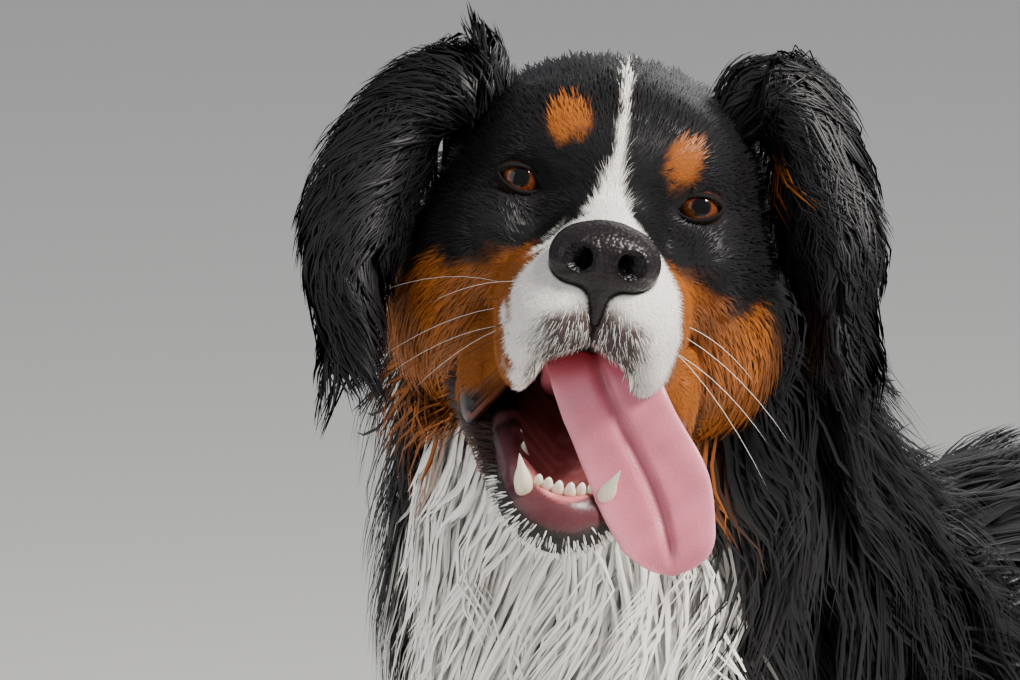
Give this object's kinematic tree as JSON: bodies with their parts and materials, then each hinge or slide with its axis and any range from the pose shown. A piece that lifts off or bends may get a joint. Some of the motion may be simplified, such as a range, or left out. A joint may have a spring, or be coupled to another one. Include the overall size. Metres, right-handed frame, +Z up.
{
  "type": "bernese mountain dog model",
  "caption": "Life-size still model of a standing long-coated mountain dog, head turned to its left, mouth open and tongue hanging out.",
  "frame": {"origin": "on the floor, under the middle of the dog's bounding box", "axes": "+Z up, the body faces -Y, +X is the dog's left"},
  "size_m": [0.3986, 1.0298, 0.9211],
  "materials": {
    "black_coat": "long soft black hair with a slight wave and a sheen",
    "rust_coat": "rich rust-brown hair",
    "white_coat": "clean white hair",
    "tongue": "moist pink tongue with a fine grain",
    "nose_leather": "moist pebbled black nose",
    "eye": "dark brown, wet and glossy",
    "lip": "moist black and pink skin of the lips and gums",
    "tooth": "ivory enamel"
  },
  "bodies": {
    "root": {"chest": "black_coat", "ear_left": "black_coat", "ear_right": "black_coat", "eye_left": "eye", "eye_right": "eye", "forearm_left": "rust_coat", "forearm_right": "rust_coat", "head": "black_coat", "loin": "black_coat", "lower_jaw": "black_coat", "neck": "black_coat", "nose": "nose_leather", "paw_front_left": "white_coat", "paw_front_right": "white_coat", "paw_hind_left": "white_coat", "paw_hind_right": "white_coat", "rump": "black_coat", "shank_left": "rust_coat", "shank_right": "rust_coat", "tail": "black_coat", "thigh_left": "black_coat", "thigh_right": "black_coat", "tongue": "tongue", "upper_arm_left": "black_coat", "upper_arm_right": "black_coat"}
  },
  "joints": []
}
